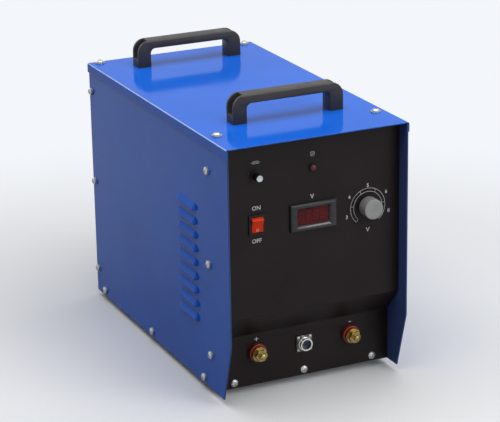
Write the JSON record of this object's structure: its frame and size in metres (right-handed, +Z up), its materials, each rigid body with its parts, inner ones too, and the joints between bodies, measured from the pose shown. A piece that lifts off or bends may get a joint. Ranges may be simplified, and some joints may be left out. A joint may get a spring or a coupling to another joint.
{
  "type": "stud welder",
  "caption": "Capacitor discharge stud welder: folded sheet case with louvred sides, bow handles and a stepped front panel with switch, meter, knob, fuse, terminals and control socket.",
  "frame": {"origin": "on the floor under the middle of the whole part's box", "axes": "+Z up, -Y to the front panel, +X to the right seen from the front"},
  "size_m": [0.308, 0.5726, 0.454],
  "materials": {
    "blue_paint": "gloss",
    "black_paint": "satin",
    "zinc_sheet": "satin",
    "screw_steel": "gloss",
    "nut_steel": "satin",
    "handle_plastic": "satin",
    "black_plastic": "satin",
    "bezel_plastic": "satin",
    "rocker_plastic": "gloss",
    "window_plastic": "gloss",
    "lens_plastic": "gloss",
    "knob_plastic": "satin",
    "bush_plastic": "gloss",
    "brass": "satin",
    "nickel": "gloss",
    "insert_plastic": "satin",
    "rubber": "matte",
    "glass_fuse": "gloss",
    "capacitor_sleeve": "gloss",
    "copper": "satin",
    "core_steel": "matte",
    "coil_wrap": "matte",
    "aluminium": "satin",
    "board_green": "satin"
  },
  "bodies": {
    "case": {"base_pan": "zinc_sheet", "feet": "rubber", "foot_screws": "screw_steel", "side_panel_left": "blue_paint", "side_panel_right": "blue_paint", "top_cover": "blue_paint", "front_panel": "black_paint", "rear_panel": "blue_paint", "case_screws": "screw_steel", "case_washers": "screw_steel", "case_nuts": "nut_steel", "handle_front": "handle_plastic", "handle_rear": "handle_plastic", "handle_screws": "screw_steel", "switch_housing": "black_plastic", "switch_tabs": "nut_steel", "meter_case": "bezel_plastic", "meter_window": "window_plastic", "meter_display": "black_plastic", "lamp_bezel": "black_plastic", "lamp_lens": "lens_plastic", "fuse_body": "black_plastic", "pot_body": "nut_steel", "panel_nuts": "nut_steel", "terminal_bushes": "bush_plastic", "terminal_studs": "brass", "stud_nuts": "brass", "socket_shell": "nickel", "socket_insert": "insert_plastic", "socket_pins": "brass", "socket_screws": "screw_steel", "gland_body": "black_plastic", "gland_cap": "black_plastic", "gland_seal": "rubber", "earth_stud": "brass", "capacitors": "capacitor_sleeve", "capacitor_clamps": "zinc_sheet", "bus_bars": "copper", "transformer_core": "core_steel", "transformer_coil": "coil_wrap", "heat_sink": "aluminium", "thyristor": "black_plastic", "rectifier": "black_plastic", "control_board": "board_green", "board_parts": "black_plastic", "board_posts": "brass", "straps": "copper"},
    "rocker": {"rocker": "rocker_plastic"},
    "knob": {"knob": "knob_plastic", "knob_screw": "nut_steel", "pot_shaft": "nut_steel"},
    "fuse_link": {"fuse_link": "glass_fuse"},
    "fuse_cap": {"fuse_cap": "black_plastic", "fuse_cap_end": "nickel"},
    "left_washer": {"left_washer": "brass"},
    "left_nut": {"left_nut": "brass"},
    "right_washer": {"right_washer": "brass"},
    "right_nut": {"right_nut": "brass"}
  },
  "joints": [
    {"name": "rocker_tilt", "type": "hinge", "parent": "case", "child": "rocker", "pos_m": [-0.0924, -0.2618, 0.281], "axis": [-1, 0, 0], "range_deg": [0, 24]},
    {"name": "knob_turn", "type": "hinge", "parent": "case", "child": "knob", "pos_m": [0.0924, -0.2633, 0.281], "axis": [0, 1, 0], "range_deg": [0, 276]},
    {"name": "fuse_pull", "type": "slide", "parent": "case", "child": "fuse_link", "axis": [0, -1, 0], "range_m": [0, 0.04]},
    {"name": "fuse_cap_turn", "type": "hinge", "parent": "fuse_link", "child": "fuse_cap", "pos_m": [-0.0924, -0.2633, 0.35582], "axis": [0, -1, 0], "range_deg": [0, 90]},
    {"name": "left_washer_slide", "type": "slide", "parent": "case", "child": "left_washer", "axis": [0, -1, 0], "range_m": [0, 0.0061]},
    {"name": "left_nut_turn", "type": "hinge", "parent": "left_washer", "child": "left_nut", "pos_m": [-0.0798, -0.2293, 0.064], "axis": [0, -1, 0], "range_deg": [0, 1440]},
    {"name": "right_washer_slide", "type": "slide", "parent": "case", "child": "right_washer", "axis": [0, -1, 0], "range_m": [0, 0.0061]},
    {"name": "right_nut_turn", "type": "hinge", "parent": "right_washer", "child": "right_nut", "pos_m": [0.0798, -0.2293, 0.064], "axis": [0, -1, 0], "range_deg": [0, 1440]}
  ],
  "couplings": [
    {"joint": "left_washer_slide", "follows": "left_nut_turn", "m_per_rad": 0.00023873},
    {"joint": "right_washer_slide", "follows": "right_nut_turn", "m_per_rad": 0.00023873}
  ]
}
